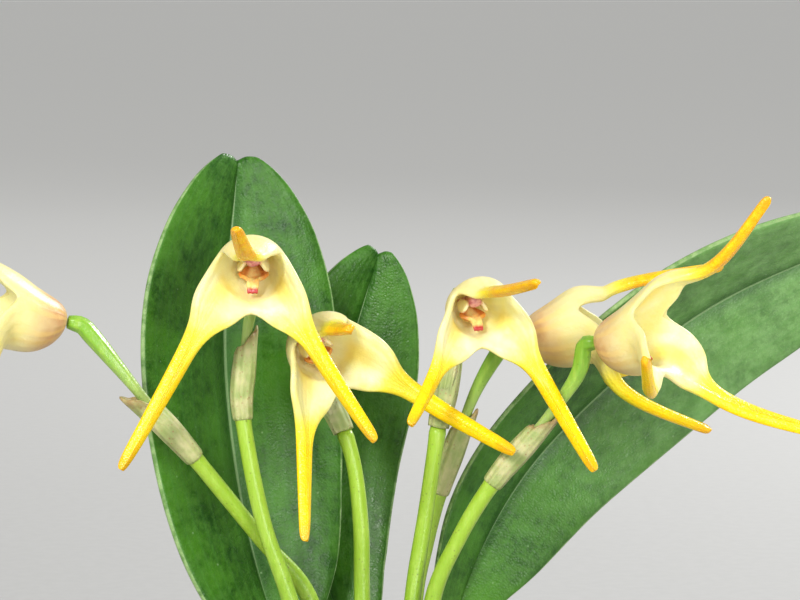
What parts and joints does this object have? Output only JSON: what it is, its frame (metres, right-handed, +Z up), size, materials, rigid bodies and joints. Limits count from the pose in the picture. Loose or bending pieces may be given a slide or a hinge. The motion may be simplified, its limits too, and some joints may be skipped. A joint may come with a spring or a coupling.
{
  "type": "potted masdevallia orchid",
  "caption": "Small masdevallia orchid in bloom in a plain clay pot: leathery leaves and wiry stems that carry cupped yellow flowers with long tails.",
  "frame": {"origin": "centre of the pot's flat underside", "axes": "+Z up, -Y towards the side the blooms are seen from in the picture, +X to that view's right"},
  "size_m": [0.126, 0.0824, 0.1428],
  "materials": {
    "clay": "unglazed fired clay, rough",
    "bark": "damp fir bark, rough",
    "rhizome": "pale stem and roots, dull",
    "leaf": "leathery leaf, satin",
    "stem": "juicy green stalk, satin",
    "bract": "dry papery sleeve, dull",
    "sepal": "waxy petal, satin",
    "heart": "fleshy, satin",
    "lip": "fleshy, satin"
  },
  "bodies": {
    "root": {"pot": "clay", "bark": "bark", "rhizome": "rhizome", "leaf_a": "leaf", "leaf_b": "leaf", "leaf_c": "leaf", "leaf_a_sheath": "bract", "leaf_b_sheath": "bract", "leaf_c_sheath": "bract", "peduncle_1": "stem", "bract_1": "bract", "ovary_1": "stem", "bloom_1_sepals": "sepal", "bloom_1_heart": "heart", "bloom_1_lip": "lip", "peduncle_2": "stem", "bract_2": "bract", "ovary_2": "stem", "bloom_2_sepals": "sepal", "bloom_2_heart": "heart", "bloom_2_lip": "lip", "peduncle_3": "stem", "bract_3": "bract", "ovary_3": "stem", "bloom_3_sepals": "sepal", "bloom_3_heart": "heart", "bloom_3_lip": "lip", "peduncle_4": "stem", "bract_4": "bract", "ovary_4": "stem", "bloom_4_sepals": "sepal", "bloom_4_heart": "heart", "bloom_4_lip": "lip", "peduncle_5": "stem", "bract_5": "bract", "ovary_5": "stem", "bloom_5_sepals": "sepal", "bloom_5_heart": "heart", "bloom_5_lip": "lip", "peduncle_6": "stem", "bract_6": "bract", "ovary_6": "stem", "bloom_6_sepals": "sepal", "bloom_6_heart": "heart", "bloom_6_lip": "lip"}
  },
  "joints": []
}
